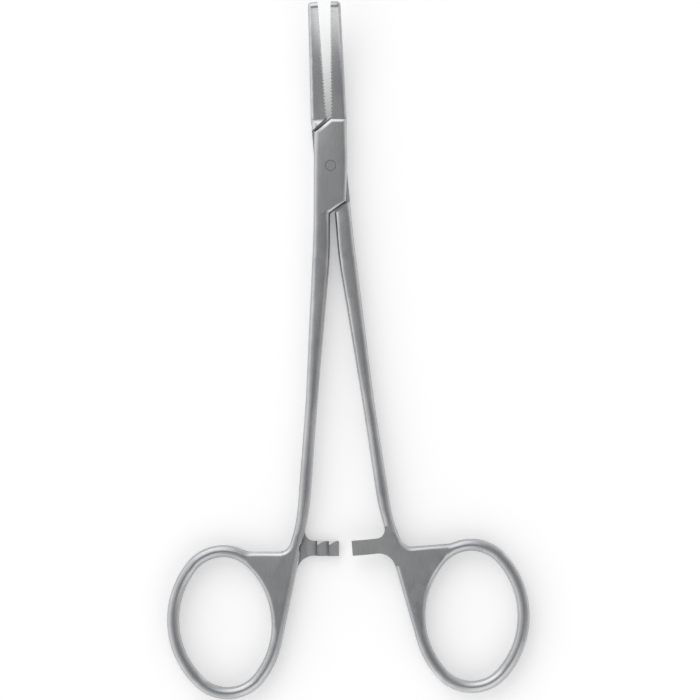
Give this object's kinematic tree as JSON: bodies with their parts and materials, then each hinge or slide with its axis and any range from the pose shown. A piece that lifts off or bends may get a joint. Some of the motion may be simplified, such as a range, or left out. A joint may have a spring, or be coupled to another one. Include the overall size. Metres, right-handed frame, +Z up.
{
  "type": "hemostat forceps",
  "caption": "Curved fine-jaw artery forceps with a box lock, serrated jaws, saw-tooth ratchet bars and oval finger rings, lying flat and slightly open.",
  "frame": {"origin": "on the pivot axis of the box lock, at the flat underside of the lock", "axes": "+Z up out of the surface the forceps lies on and along the pivot, +Y along the instrument toward the jaw tips, +X toward the half whose ring is on the right"},
  "size_m": [0.0652, 0.1251, 0.0084],
  "materials": {
    "stainless_steel": "satin polished stainless steel"
  },
  "bodies": {
    "female": {"female_half": "stainless_steel", "pivot_pin": "stainless_steel"},
    "male": {"male_half": "stainless_steel"}
  },
  "joints": [
    {"name": "box_lock_pivot", "type": "hinge", "parent": "female", "child": "male", "pos_m": [0, 0, 0], "axis": [0, 0, 1], "range_deg": [-4.5, 45]}
  ]
}
